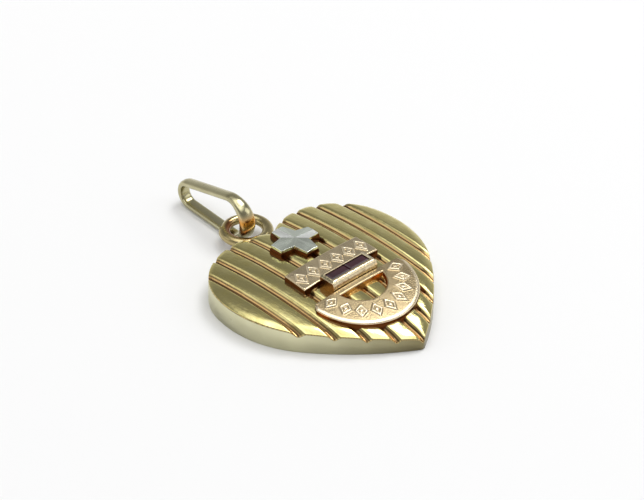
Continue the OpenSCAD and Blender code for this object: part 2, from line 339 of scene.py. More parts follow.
def rounded_rectangle(low, high, r, z, corner_points=6, side_points=12):
    """A ring of points round a rectangle with rounded corners, counter-clockwise at height z."""
    points = []
    corners = [(high[0] - r, low[1] + r, -90), (high[0] - r, high[1] - r, 0),
               (low[0] + r, high[1] - r, 90), (low[0] + r, low[1] + r, 180)]
    for x, y, start in corners:
        for i in range(corner_points + 1):
            t = math.radians(start + 90 * i / corner_points)
            points.append((x + r * math.cos(t), y + r * math.sin(t)))
    ring = []
    for i, point in enumerate(points):
        ring.append(point)
        if i % (corner_points + 1) == corner_points:
            after = points[(i + 1) % len(points)]
            for k in range(1, side_points):
                share = k / side_points
                ring.append(tuple(p + (q - p) * share for p, q in zip(point, after)))
    return np.array([(x, y, z) for x, y in ring])


def polygon_loop(corners, step):
    """A closed loop through corners, with points at most a step apart."""
    points = []
    for a, b in zip(corners, corners[1:] + corners[:1]):
        a, b = np.array(a, float), np.array(b, float)
        n = max(1, math.ceil(np.linalg.norm(b - a) / step))
        points += [a + (b - a) * i / n for i in range(n)]
    return np.array(points)


def arc_points(centre, r, start, stop, step):
    """Points along an arc, ends included, with angles in degrees."""
    n = max(2, math.ceil(abs(math.radians(stop - start)) * r / step))
    turn = np.radians(np.linspace(start, stop, n + 1))
    return [(centre[0] + r * math.cos(t), centre[1] + r * math.sin(t)) for t in turn]


def square_grid(low, high, step):
    """Points a step apart over a rectangle."""
    x, y = np.meshgrid(np.arange(low[0], high[0], step), np.arange(low[1], high[1], step))
    return np.column_stack([x.ravel(), y.ravel()])


def finish_piece(piece, body, nodes, slot, *materials):
    """Puts a piece on its body in place of CAD nodes, with its finishes; slot is not used."""
    slots = piece.data.materials
    for i, material in enumerate(materials):
        if i < len(slots):
            slots[i] = material
        else:
            slots.append(material)
    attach(piece, body)
    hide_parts(*nodes)


# Materials

def linear(code):
    """An sRGB hex colour as linear light, with full alpha."""
    parts = [int(code[i : i + 2], 16) / 255 for i in (1, 3, 5)]
    return [p / 12.92 if p <= 0.04045 else ((p + 0.055) / 1.055) ** 2.4 for p in parts] + [1]


def add(tree, kind, inputs, **settings):
    """Adds a node; an input is a value or the output that it takes."""
    node = tree.nodes.new(kind)
    for name, value in settings.items():
        setattr(node, name, value)
    for name, value in inputs.items():
        if isinstance(value, bpy.types.NodeSocket):
            tree.links.new(value, node.inputs[name])
        else:
            node.inputs[name].default_value = value
    return node


def new_material(name):
    """A material and its empty node tree."""
    material = bpy.data.materials.new(name)
    material.use_nodes = True
    tree = material.node_tree
    tree.nodes.clear()
    return material, tree


# Places of the mix node's colour sockets
MIX_FIRST, MIX_SECOND, MIX_RESULT = 6, 7, 2


def mix_colours(tree, factor, first, second):
    """The output of a colour mix; a colour is a hex code or an output.

    The node's colour sockets share their names with its number sockets, so they are taken by place.
    """
    node = add(tree, "ShaderNodeMix", {"Factor": factor}, data_type="RGBA")
    for socket, value in ((node.inputs[MIX_FIRST], first), (node.inputs[MIX_SECOND], second)):
        if isinstance(value, str):
            socket.default_value = linear(value)
        else:
            tree.links.new(value, socket)
    return node.outputs[MIX_RESULT]


# Real graver's lines are a few hundredths of a millimetre apart, too fine to show, so these are coarser
GRAVER_MM = 0.13

# Width of one band of the wave texture at a scale of one
WAVE_PERIOD = math.pi / 10

# Noise values between which the gloss varies, and by how much it does
PATCH_LOW, PATCH_HIGH = 0.3, 0.7
SMOOTHER, ROUGHER = 0.05, 0.06


def per_metre(size_mm):
    """Noise scale whose features are size_mm across."""
    return 1 / (size_mm * MM)


def worked_gold(name, light, deep, rough, grain_mm, dent_mm,
                painted_light=None, graver=None, patch_mm=1.4, draw=1):
    """Gold alloy, cast and hand polished: an uneven gloss with faint ripples, with painted shade and painted
    reflections where the mesh marks them.

    light and deep are the tones of its patches, which are patch_mm across; rough is its middle roughness;
    its ripples are grain_mm apart and dent_mm deep, and draw stretches them the way the strokes run.
    Its painted tone, given before graver, is the colour of the painted shade in grooves, creases and corners
    and of the painted reflections that the mesh marks; graver is the second tone of the fine lines that the
    graver leaves along them.
    """
    material, tree = new_material(name)
    place = add(tree, "ShaderNodeTexCoord", {}).outputs["Object"]
    patches = add(tree, "ShaderNodeTexNoise", {
        "Vector": place, "Scale": per_metre(patch_mm), "Detail": 3})
    patch = patches.outputs["Fac"]
    drawn = add(tree, "ShaderNodeMapping", {"Vector": place, "Scale": (1, 1 / draw, 1)})
    grain = add(tree, "ShaderNodeTexNoise", {
        "Vector": drawn.outputs["Vector"], "Scale": per_metre(grain_mm), "Detail": 2})
    tone = mix_colours(tree, patch, light, deep)
    # Painted shade and painted reflections, in the tone given for them, where the mesh's attribute marks
    # them
    if painted_light:
        painted_share = add(tree, "ShaderNodeAttribute", {}, attribute_name="painted_light").outputs["Fac"]
        if graver:
            lines = add(tree, "ShaderNodeTexWave", {
                "Vector": place, "Scale": per_metre(GRAVER_MM) * WAVE_PERIOD, "Distortion": 0.8,
                "Detail": 1, "Detail Scale": 0.3}, bands_direction="X")
            painted_light = mix_colours(tree, lines.outputs["Fac"], painted_light, graver)
        tone = mix_colours(tree, painted_share, tone, painted_light)
    gloss = add(tree, "ShaderNodeMapRange", {
        "Value": patch, "From Min": PATCH_LOW, "From Max": PATCH_HIGH,
        "To Min": rough - SMOOTHER, "To Max": rough + ROUGHER})
    bump = add(tree, "ShaderNodeBump", {
        "Height": grain.outputs["Fac"], "Strength": 1, "Distance": dent_mm * MM})
    shader = add(tree, "ShaderNodeBsdfPrincipled", {
        "Base Color": tone, "Metallic": 1, "Roughness": gloss.outputs["Result"],
        "Normal": bump.outputs["Normal"]})
    add(tree, "ShaderNodeOutputMaterial", {"Surface": shader.outputs["BSDF"]})
    return material


CLOUD_MM = 0.7


def cut_ruby():
    """Corundum, step cut and polished: deep wine red with a hard gloss and slightly cloudy."""
    material, tree = new_material("cut_ruby")
    place = add(tree, "ShaderNodeTexCoord", {}).outputs["Object"]
    cloud = add(tree, "ShaderNodeTexNoise", {"Vector": place, "Scale": per_metre(CLOUD_MM), "Detail": 2})
    tone = mix_colours(tree, cloud.outputs["Fac"], "#1C0610", "#4C1C2A")
    shader = add(tree, "ShaderNodeBsdfPrincipled", {
        "Base Color": tone, "Metallic": 0, "Roughness": 0.08, "IOR": 1.77})
    add(tree, "ShaderNodeOutputMaterial", {"Surface": shader.outputs["BSDF"]})
    return material


# 18-carat yellow gold, cut and polished: greenish and streaked along the ribs; the copper tone in the
# grooves is painted shade and painted reflection, crossed by the graver's lines
RIB_GOLD = worked_gold(
    "polished_gold_ribs", "#F0E6A8", "#C4B66E", rough=0.15, grain_mm=0.16, dent_mm=0.01,
    painted_light="#5A3A1C", graver="#D6B27A", patch_mm=0.9, draw=3)

# The same gold, filed and rubbed down: a satin wall that mirrors only broad light; its paler, greyer tone is
# a painted reflection of the white table, and painted shade darkens it towards the tip
WALL_GOLD = worked_gold(
    "satin_gold_wall", "#DCD9B8", "#CFCBA8", rough=0.32, grain_mm=0.25, dent_mm=0.003, painted_light="#857C5A")

# Drawn gold wire: a greyer shine in long soft ripples, and a painted orange reflection of the ring where it
# passes through it
WIRE_GOLD = worked_gold(
    "drawn_gold_wire", "#D0CAA6", "#A8A078", rough=0.2, grain_mm=0.5, dent_mm=0.014, painted_light="#DC9C4A")

# Gold wire with solder flowed over it: a duller shine; the copper red inside the ring is painted reflection
# and painted shade
RING_GOLD = worked_gold(
    "soldered_gold_ring", "#CABE90", "#A08C5C", rough=0.2, grain_mm=0.3, dent_mm=0.014, painted_light="#8E5C34")

# Rose gold, matted with a fine punch: a sparkling grain; the tan of its fields between the raised lines is
# painted shade
ROSE_FIELD = worked_gold(
    "matted_rose_gold", "#F8EACC", "#EAD6B0", rough=0.27, grain_mm=0.12, dent_mm=0.01, painted_light="#B6A37E")

# Rose gold, sawn and filed at its edges: its orange brown is a painted reflection of the ribs, and it turns
# nearly black where the mesh marks painted shade
ROSE_EDGE = worked_gold(
    "painted_shade_rose_gold_edge", "#D8A062", "#B8824A", rough=0.26, grain_mm=0.3, dent_mm=0.008, painted_light="#5E3416")

# Yellow gold, rubbed over the stones with a burnisher: pale and dimpled, its end facets in shade
SETTING_GOLD = worked_gold(
    "bright_setting_gold", "#F2E6C4", "#CDB48A", rough=0.2, grain_mm=0.14, dent_mm=0.022,
    painted_light="#8E866A", patch_mm=0.5)

# White gold, brushed: cool grey and satin
WHITE_GOLD = worked_gold(
    "satin_white_gold", "#F2F8EC", "#DEE6D8", rough=0.22, grain_mm=0.6, dent_mm=0.004)

# White gold, bright cut with a graver: small dimples that catch the light
CUT_WHITE_GOLD = worked_gold(
    "bright_cut_white_gold", "#FFFFFF", "#D8DCD2", rough=0.34, grain_mm=0.14, dent_mm=0.03, patch_mm=0.16)

RUBY = cut_ruby()


# Ribbed heart

# Rounding of the rim, the loops inside it and the bevel round the back
RIM_R = 0.05
RIM_STEPS = 4
RIM_LOOPS = (0.08, 0.15, 0.24)
FOOT_BEVEL = 0.05

# How far the front falls at the rim and from how far in, at the lobes and along the straight sides
LOBE_FALL, LOBE_REACH = 0.06, 0.35
SIDE_DROP, SIDE_REACH = 0.15, 0.75
SIDE_BELOW, SIDE_OVER = 2, 4

# Grid lines by their distance from a groove's middle, and the steps beyond and along the ribs
FROM_GROOVE = (0, 0.03, 0.06, 0.1, 0.14, 0.18, 0.21, 0.24, 0.27, 0.31, 0.37, 0.46, 0.58, 0.7)
OUTER_STEP, ALONG_STEP = 0.1, 0.12

# Painted shade and copper reflection in the grooves past a share of their depth, growing by a gain; painted
# shade down the rim's crease from a share at its top, and on the wall below a place towards the tip
GROOVE_SHADE_PAST, GROOVE_SHADE_GAIN = 0.14, 2.2
CREASE_SHADE_SHARE = 0.3
WALL_SHADE_BELOW = 2
TOUCHING = 0.001


def heart_top(x, y, away):
    """Height of the ribbed front, which rounds down to its rim, and further along the straight sides."""
    side = np.clip((SIDE_BELOW - y) / SIDE_OVER, 0, 1)
    fall = LOBE_FALL + (SIDE_DROP - LOBE_FALL) * side
    reach = LOBE_REACH + (SIDE_REACH - LOBE_REACH) * side
    return dome_z(x, y) - ribs_z(x) - fall * np.clip(1 - away / reach, 0, 1) ** 2


def rib_grid():
    """Grid lines along the ribs, close together at the grooves."""
    near = np.array(FROM_GROOVE)
    offsets = np.concatenate([-near[:0:-1], near])
    lines = [k * PITCH + o for k in range(-GROOVES, GROOVES + 1) for o in offsets]
    outer = (GROOVES + 0.5) * PITCH
    lines += [side * v for side in (-1, 1) for v in np.arange(outer, HEART_W / 2, OUTER_STEP)]
    x, y = np.meshgrid(sorted(lines), np.arange(LOW[1], HIGH[1], ALONG_STEP))
    return np.column_stack([x.ravel(), y.ravel()])


def mark_painted_light(piece, painted_share):
    """Stores each point's share of painted shade and painted reflection, from 0 to 1, as the attribute that
    the finishes read.
    """
    layer = piece.data.attributes.new("painted_light", "FLOAT", "POINT")
    layer.data.foreach_set("value", np.clip(painted_share, 0, 1))


def points_of(piece):
    """A mesh's points in millimetres."""
    flat = np.empty(3 * len(piece.data.vertices))
    piece.data.vertices.foreach_get("co", flat)
    return flat.reshape(-1, 3) / MM


def make_heart():
    """The heart in one piece: flat back, satin wall, rounded rim and ribbed front."""
    edge = rounded_edge(RIM_R, RIM_R, RIM_STEPS, RIM_LOOPS)
    piece = relief_solid("ribbed_heart", [heart_loop], [edge], heart_top, 0, rib_grid(), FOOT_BEVEL)
    x, y, z = points_of(piece).T
    # Painted shade and painted copper reflection in the grooves, painted shade down the rim's crease, and
    # painted shade on the wall towards the tip
    below_rim = heart_top(x, y, 0) - z
    on_top = (groove_depth(x) / GROOVE_D - GROOVE_SHADE_PAST) * GROOVE_SHADE_GAIN
    wall_shade = np.clip((-WALL_SHADE_BELOW - y) / (HEART_L / 2 - WALL_SHADE_BELOW), 0, 1)
    crease_shade = CREASE_SHADE_SHARE + (1 - CREASE_SHADE_SHARE) * below_rim / RIM_R
    below = np.where(below_rim < RIM_R + TOUCHING, crease_shade, wall_shade)
    mark_painted_light(piece, np.where(below_rim < TOUCHING, on_top, below))
    finish_piece(piece, "heart", ["heart_body"], "yellow_gold", RIB_GOLD, WALL_GOLD)


make_heart()


# Plates

# Shares of the way from a lozenge's outline to its middle
ORNAMENT_SLOPE = 0.12
ORNAMENT_RIM_TO, BEAD_FROM = 0.5, 0.62


def lozenge(x, y, place, turn, length, width):
    """Height from 0 at the rim of a lozenge to 1 at its middle."""
    u = (x - place[0]) * math.cos(turn) + (y - place[1]) * math.sin(turn)
    v = (y - place[1]) * math.cos(turn) - (x - place[0]) * math.sin(turn)
    return np.clip(1 - 2 * np.abs(u) / length - 2 * np.abs(v) / width, 0, 1)


def ornament(value):
    """Profile of one raised lozenge: a rim, a sunk field and a bead."""
    rise = np.clip(value / ORNAMENT_SLOPE, 0, 1)
    rim = rise * np.clip((ORNAMENT_RIM_TO - value) / ORNAMENT_SLOPE, 0, 1)
    bead = np.clip((value - BEAD_FROM) / ORNAMENT_SLOPE, 0, 1)
    return RELIEF * (rim + bead)


def plate_z(x, y):
    """Height of both plates, which follow the dome."""
    return dome_z(x, y) + PLATE_H


UPPER_LOW, UPPER_HIGH = node_box("upper_plate")
UPPER_FLARE = 0.1
UPPER_GRID = 0.04

# (inset, drop) and steps of the rounding, and the step between points of the outlines, on both plates
PLATE_EDGE = (0.1, 0.06)
PLATE_STEPS = 5
LOOP_STEP = 0.06

# The upper plate's row, with the length of a lozenge as a share of its place, and the share of painted shade
# on its fields
LOZENGES = 6
LOZENGE_SHARE, LOZENGE_W = 0.9, 1.45
FIELD_SHADE = 0.6


def make_upper_plate():
    """A plate a little wider towards the stones, with a row of raised lozenges."""
    half = (UPPER_HIGH[0] - UPPER_LOW[0]) / 2
    corners = [(STACK_X - half, UPPER_LOW[1]), (STACK_X + half, UPPER_LOW[1]),
               (STACK_X + half - UPPER_FLARE, UPPER_HIGH[1]), (STACK_X - half + UPPER_FLARE, UPPER_HIGH[1])]
    mid = (UPPER_LOW[1] + UPPER_HIGH[1]) / 2
    step = (half - UPPER_FLARE) / (LOZENGES / 2)

    def relief(x, y):
        total = 0
        for i in range(LOZENGES):
            place = (STACK_X + (i - (LOZENGES - 1) / 2) * step, mid)
            total = total + ornament(lozenge(x, y, place, 0, LOZENGE_SHARE * step, LOZENGE_W))
        return total

    piece = relief_solid(
        "upper_plate_relief", [loop_inset(polygon_loop(corners, LOOP_STEP))],
        [rounded_edge(*PLATE_EDGE, PLATE_STEPS)], lambda x, y, away: plate_z(x, y) + relief(x, y),
        FOOT_LEVEL, square_grid(UPPER_LOW[:2], UPPER_HIGH[:2], UPPER_GRID))
    # Painted shade: deeper the lower a field lies below the lozenges, and full on the sides
    x, y, z = points_of(piece).T
    on_top = z > plate_z(x, y) - PLATE_EDGE[1] - TOUCHING
    mark_painted_light(piece, np.where(on_top, FIELD_SHADE * (1 - relief(x, y) / RELIEF), 1))
    finish_piece(piece, "heart", ["upper_plate"], "rose_gold", ROSE_FIELD, ROSE_EDGE)


LOWER_LOW, LOWER_HIGH = node_box("lower_plate")
RING_R = (LOWER_HIGH[0] - LOWER_LOW[0]) / 2
BAR_Y = LOWER_HIGH[1]
LOWER_FOOT = 1.2
LOWER_GRID = 0.045

# The bar stops just short of the setting and its back edge is rounded less
BAR_GAP = 0.04
BAR_BACK = node_box("stone_setting")[0][1] - BAR_GAP
BAR_EDGE_SHARE = 0.3
ON_BAR = 0.01

# The round side stops some degrees short of the bar, whose ends lie inside it
END_TURN = 4
END_INSET = 0.3
RING_EDGE = (0.21, 0.1)
RING_STEPS = 8

# The fan, the band along the rim over which the painted shade fades out, and the reach of the hole's side,
# which takes a painted reflection of the ribs
LEAVES = 9
LEAF_L, LEAF_W = 1.35, 0.92
SHADE_FADE_OVER = 0.08
AT_HOLE = 0.005


def make_lower_plate():
    """A half ring with a bar along the setting, a half-round hole and a fan of raised lozenges."""
    round_side = arc_points((STACK_X, BAR_Y), RING_R, 180 + END_TURN, 360 - END_TURN, LOOP_STEP)
    bar_ends = [(STACK_X + RING_R - END_INSET, BAR_BACK), (STACK_X - RING_R + END_INSET, BAR_BACK)]
    outer = polygon_loop(round_side + bar_ends, LOOP_STEP)
    share = np.where(outer[:, 1] > BAR_BACK - ON_BAR, BAR_EDGE_SHARE, 1)
    half = RING_R - BAND_W
    deep = half - BAR_W
    hole_r = (half**2 + deep**2) / (2 * deep)
    middle = (STACK_X, BAR_Y - BAR_W + hole_r - deep)
    spread = math.degrees(math.asin(half / hole_r))
    hole = polygon_loop(arc_points(middle, hole_r, 270 + spread, 270 - spread, LOOP_STEP), LOOP_STEP)
    band_r = RING_R - BAND_W / 2

    def relief(x, y):
        total = 0
        for i in range(LEAVES):
            turn = math.pi + (i + 0.5) * math.pi / LEAVES
            place = (STACK_X + math.cos(turn) * band_r, BAR_Y + math.sin(turn) * band_r)
            total = total + ornament(lozenge(x, y, place, turn, LEAF_L, LEAF_W))
        return total

    piece = relief_solid(
        "lower_plate_relief", [loop_inset(outer, share), loop_inset(hole)],
        [rounded_edge(*RING_EDGE, RING_STEPS), rounded_edge(*PLATE_EDGE, PLATE_STEPS)],
        lambda x, y, away: plate_z(x, y) + relief(x, y),
        LOWER_FOOT, square_grid(LOWER_LOW[:2], (LOWER_HIGH[0], BAR_BACK), LOWER_GRID))
    # Painted shade on the fields, deeper the lower they lie, and on the outer side; it fades out along the
    # rim, and the hole's side keeps the edge finish's light orange as a painted reflection of the ribs
    x, y, z = points_of(piece).T
    from_rim = RING_R - np.hypot(x - STACK_X, y - BAR_Y)
    on_outside = z < plate_z(x, y) - RING_EDGE[1] - TOUCHING
    at_hole = measure(np.column_stack([x, y]), hole)[0] < AT_HOLE
    unshaded = np.where(on_outside, 0, np.clip(1 - (from_rim - RING_EDGE[0]) / SHADE_FADE_OVER, 0, 1))
    unshaded = np.maximum(unshaded, at_hole)
    mark_painted_light(piece, (1 - relief(x, y) / RELIEF) * (1 - unshaded))
    finish_piece(piece, "heart", ["lower_plate"], "rose_gold", ROSE_FIELD, ROSE_EDGE)


make_upper_plate()
make_lower_plate()


# Cross on its backing

CROSS_LOW, CROSS_HIGH = node_box("cross")
CROSS_X, CROSS_Y = (CROSS_LOW[:2] + CROSS_HIGH[:2]) / 2
CROSS_HALF = (CROSS_HIGH[0] - CROSS_LOW[0]) / 2

# Half width of an arm's end, and place of the inner corners; rim points round the four arms
ARM_END = 0.5
ARM_ROOT = 0.68
RIM_POINTS = 16

# How far the arms' ends, the inner corners and an arm's sides lie below the middle and the ridge
ARM_FALLS = (0.15, 0.15, 0, 0.04)
ROOT_FALLS = (0.08, 0.02, 0.02, 0.02)
ARM_RIDGE = 0.045

# Rounding of the edges that turn by more than an angle, and the facets with the bright cut
CROSS_EDGE = 0.07
EDGE_SEGMENTS = 3
EDGE_OVER = 25
BRIGHT_FACETS = (0, 1, 6, 7)

# (margin round the cross, depth below its underside) of the backing's sides
BACKING_SIDES = ((0.07, 0.24), (0.03, 0.03), (0, 0))


def turned(points, quarter):
    """Points turned about the cross's middle by quarter turns."""
    c, s = ((1, 0), (0, 1), (-1, 0), (0, -1))[quarter]
    return [(x * c - y * s, x * s + y * c) for x, y in points]


def bevel(piece, width_mm, segments, angle):
    """Rounds a piece's edges that turn by more than an angle in degrees."""
    modifier = piece.modifiers.new("rounded_edges", "BEVEL")
    modifier.width = width_mm * MM
    modifier.segments = segments
    modifier.limit_method = "ANGLE"
    modifier.angle_limit = math.radians(angle)
    modifier.harden_normals = True


def make_cross():
    """Facets that fall from the middle to the arms' ends, with a low ridge on each arm."""
    foot = CROSS_LOW[2]
    verts = [(0, 0, CROSS_HIGH[2])]
    for quarter in range(4):
        arm = turned([(CROSS_HALF, -ARM_END), (CROSS_HALF, 0), (CROSS_HALF, ARM_END), (ARM_ROOT, ARM_ROOT)],
                     quarter)
        fall = ARM_FALLS[quarter]
        falls = [fall + ARM_RIDGE, fall, fall + ARM_RIDGE, ROOT_FALLS[quarter]]
        verts += [(*p, CROSS_HIGH[2] - f) for p, f in zip(arm, falls)]
    rim = list(range(1, RIM_POINTS + 1))
    faces = []
    for quarter in range(4):
        low, ridge, high, root = rim[4 * quarter : 4 * quarter + 4]
        before = rim[4 * quarter - 1]
        faces += [(0, before, low), (0, low, ridge), (0, ridge, high), (0, high, root)]
    verts += [(verts[i][0], verts[i][1], foot) for i in rim]
    low_rim = [i + RIM_POINTS for i in rim]
    faces += [(rim[i - 1], low_rim[i - 1], low_rim[i], rim[i]) for i in range(RIM_POINTS)]
    faces.append(tuple(low_rim[::-1]))
    verts = np.array(verts) + [CROSS_X, CROSS_Y, 0]
    piece = mesh_object("faceted_cross", verts, faces, sharp=1)
    for _ in range(2):
        piece.data.materials.append(None)
    for face in BRIGHT_FACETS:
        piece.data.polygons[face].material_index = 1
    bevel(piece, CROSS_EDGE, EDGE_SEGMENTS, EDGE_OVER)
    finish_piece(piece, "heart", ["cross"], "white_gold", WHITE_GOLD, CUT_WHITE_GOLD)


def cross_ring(margin, z):
    """A ring of points round the cross at a margin, at height z."""
    corners = []
    for quarter in range(4):
        corners += turned([(CROSS_HALF + margin, -ARM_END - margin), (CROSS_HALF + margin, ARM_END + margin),
                           (ARM_ROOT + margin, ARM_ROOT + margin)], quarter)
    loop = polygon_loop(corners, math.inf)
    return np.column_stack([loop + [CROSS_X, CROSS_Y], np.full(len(loop), z)])


def make_backing():
    """The rose gold under the cross, whose sides widen towards its foot."""
    high = CROSS_LOW[2]
    rings = [cross_ring(BACKING_SIDES[0][0], FOOT_LEVEL)]
    rings += [cross_ring(margin, high - below) for margin, below in BACKING_SIDES]
    piece = loft("rose_backing", rings, sharp=35)
    # The whole backing takes the edge finish's painted shade, nearly black
    mark_painted_light(piece, np.ones(len(piece.data.vertices)))
    finish_piece(piece, "heart", ["cross_backing"], "rose_gold", ROSE_EDGE)


make_cross()
make_backing()


# Setting and stones

SETTING_LOW, SETTING_HIGH = node_box("stone_setting")
SETTING_X = (SETTING_LOW[0] + SETTING_HIGH[0]) / 2

# Metal past the window's ends, and how far the end facets fall from it
RIM_W = 0.07
END_DROP = 0.1

BULGE = 0.3
BULGE_STEPS = 12
SETTING_R = 0.06
SETTING_EDGE = 0.03
WINDOW_R = 0.02
STONE_H = 0.42
UNDER_STONE = 0.02
END_FACING = 0.8

# Painted shade on the end facets, past a margin from the front, and less of it on the sides below them
FRONT_MARGIN = 0.05
FACET_FROM, FACET_TO = 0.05, 0.9
SIDE_BELOW_FACET = 0.01
SIDE_SHADE = 0.6

# (inset, depth below the table) of a stone's steps
STONE_STEPS = ((0, 0.16), (0.05, 0.06), (0.13, 0))
STONE_R = 0.012


def make_setting():
    """A raised box with a facet at each end, a front that rounds over and a window for the stones."""
    top = SETTING_HIGH[2]
    foot_z = HEART_T + PLATE_H / 2
    back, front = SETTING_HIGH[1], SETTING_LOW[1]
    foot_x = (SETTING_HIGH[0] - SETTING_LOW[0]) / 2
    rim_x = WINDOW_L / 2 + RIM_W
    rings = [rounded_rectangle((SETTING_X - foot_x, front), (SETTING_X + foot_x, back), SETTING_R,
                               FOOT_LEVEL)]
    for i in range(BULGE_STEPS + 1):
        turn = math.pi / 2 * i / BULGE_STEPS
        z = foot_z + (top - foot_z) * math.sin(turn)
        half = rim_x + (foot_x - rim_x) * min(1, (top - z) / END_DROP)
        y = front + BULGE * (1 - math.cos(turn))
        rings.append(rounded_rectangle((SETTING_X - half, y), (SETTING_X + half, back), SETTING_R, z))
    low = np.array([SETTING_X - WINDOW_L / 2, -STONE_Y - WINDOW_W / 2])
    high = np.array([SETTING_X + WINDOW_L / 2, -STONE_Y + WINDOW_W / 2])
    rings.append(rounded_rectangle(low - SETTING_EDGE, high + SETTING_EDGE, WINDOW_R + SETTING_EDGE, top))
    rings.append(rounded_rectangle(low, high, WINDOW_R, top - SETTING_EDGE))
    rings.append(rounded_rectangle(low, high, WINDOW_R, top - STONE_H - UNDER_STONE))
    piece = loft("rounded_setting", rings, sharp=40)
    x, y, z = points_of(piece).T
    # Painted shade on the end facets, and less on the sides below them
    past_rim = (np.abs(x - SETTING_X) - rim_x) / (foot_x - rim_x)
    rise = np.clip((z - foot_z) / (top - foot_z), 0, 1)
    on_end = y > front + BULGE * (1 - np.sqrt(1 - rise**2)) + FRONT_MARGIN
    facet_shade = on_end & (past_rim > FACET_FROM) & (past_rim < FACET_TO)
    side = on_end & (past_rim > FACET_TO) & (z < top - END_DROP - SIDE_BELOW_FACET)
    mark_painted_light(piece, np.where(facet_shade, 1, np.where(side, SIDE_SHADE, 0)))
    for _ in range(2):
        piece.data.materials.append(None)
    # The lower end walls take the rose gold edge finish as painted shade
    for face in piece.data.polygons:
        if abs(face.normal.x) > END_FACING and face.center.z < (top - END_DROP) * MM:
            face.material_index = 1
    finish_piece(piece, "heart", ["stone_setting"], "yellow_gold", SETTING_GOLD, ROSE_EDGE)


def make_stone(node, name):
    """A straight step-cut stone: two steps round its table."""
    low, high = node_box(node)
    middle, half = (low + high)[:2] / 2, (high - low)[:2] / 2
    steps = [(0, low[2])] + [(inset, high[2] - below) for inset, below in STONE_STEPS]
    rings = []
    for inset, z in steps:
        rings.append(rounded_rectangle(middle - half + inset, middle + half - inset, STONE_R, z, 1, 1))
    piece = loft(name, rings, sharp=10)
    finish_piece(piece, "heart", [node], "ruby", RUBY)


make_setting()
make_stone("stone_left", "cut_stone_left")
make_stone("stone_right", "cut_stone_right")


# Eyelet and bail

EYELET_LOW, EYELET_HIGH = node_box("eyelet")
EYELET_BORE = 2.2
EYELET_WIRE = 0.68
EYELET_R = (EYELET_BORE + EYELET_WIRE) / 2
EYELET_Y = EYELET_HIGH[1] - EYELET_R - EYELET_WIRE / 2
EYELET_Z = (EYELET_LOW[2] + EYELET_HIGH[2]) / 2
EYELET_RINGS, EYELET_SECTION = 96, 32

# The wire is flattened outward, past an angle from the top and more over the next
EYELET_FLAT = 0.14
FLAT_FROM = math.radians(32)
FLAT_OVER = math.radians(25)

# (y, half width, half height) of the solder root, from the ring into the heart
ROOT_RUN = (
    (EYELET_Y - EYELET_R + 0.1, 0.3, 0.26), (CLEFT_Y + 0.95, 0.6, 0.26), (CLEFT_Y + 0.6, 0.95, 0.25),
    (CLEFT_Y + 0.2, 0.8, 0.25), (CLEFT_Y - 0.3, 0.6, 0.24))
ROOT_POWER = 0.6

# Voxel size and smoothing that melt the ring and its root together
FLOW_VOXEL = 0.035
FLOW_SMOOTH, FLOW_PASSES = 0.5, 12

# Painted copper reflection and painted shade cover the ring's inside, most on its left
INSIDE_FROM, INSIDE_OVER = 0.1, 0.2
LEFT_SHARE, LEFT_OVER = 0.3, 0.8

# Bail: its two bends, the span between their centres and its section, which swells in the ring
NEAR_R = 1.29
FAR_R = 0.66
SPAN = 4.7
BAIL_TURN = math.radians(4.4)
BAIL_X = -0.2
BAIL_W = 0.88
BAIL_T = 0.46
STRIP_T = 0.456
NEAR_SWELL_T = 0.2
NEAR_SWELL_W = 0.3
SWELL_FROM, SWELL_POWER = 0.2, 1.5
STRIP_CROWN = 0.1
THICK_POWER, WIDE_POWER = 0.55, 0.45
NEAR_STEPS, LIMB_STEPS, FAR_STEPS, STRIP_SECTION = 72, 24, 48, 28

# The painted orange reflection of the ring lies round a height, on the part inside the ring
RING_REFLECTION_Z, RING_REFLECTION_SPREAD, RING_REFLECTION_OVER = 2.2, 0.35, 0.5

# The bend rests on the ring's wire, with a little slack
SEAT_SLACK = 0.1
SEAT_TURN = math.radians(65)
TAPER = math.asin((NEAR_R - FAR_R) / SPAN)
BAIL_Z = node_box("bail")[0][2] + BAIL_T + NEAR_R
BAIL_Y = EYELET_Y + EYELET_R - (NEAR_R - EYELET_WIRE / 2 - SEAT_SLACK) * math.cos(SEAT_TURN)


def ring_points(middle, outward, upward, half_u, half_v, power, n):
    """A ring of points with a squarish round section about a middle."""
    ring = []
    for i in range(n):
        t = 2 * math.pi * i / n
        u = half_u * math.copysign(abs(math.cos(t)) ** power, math.cos(t))
        v = half_v * math.copysign(abs(math.sin(t)) ** power, math.sin(t))
        ring.append(middle + outward * u + upward * v)
    return np.array(ring)


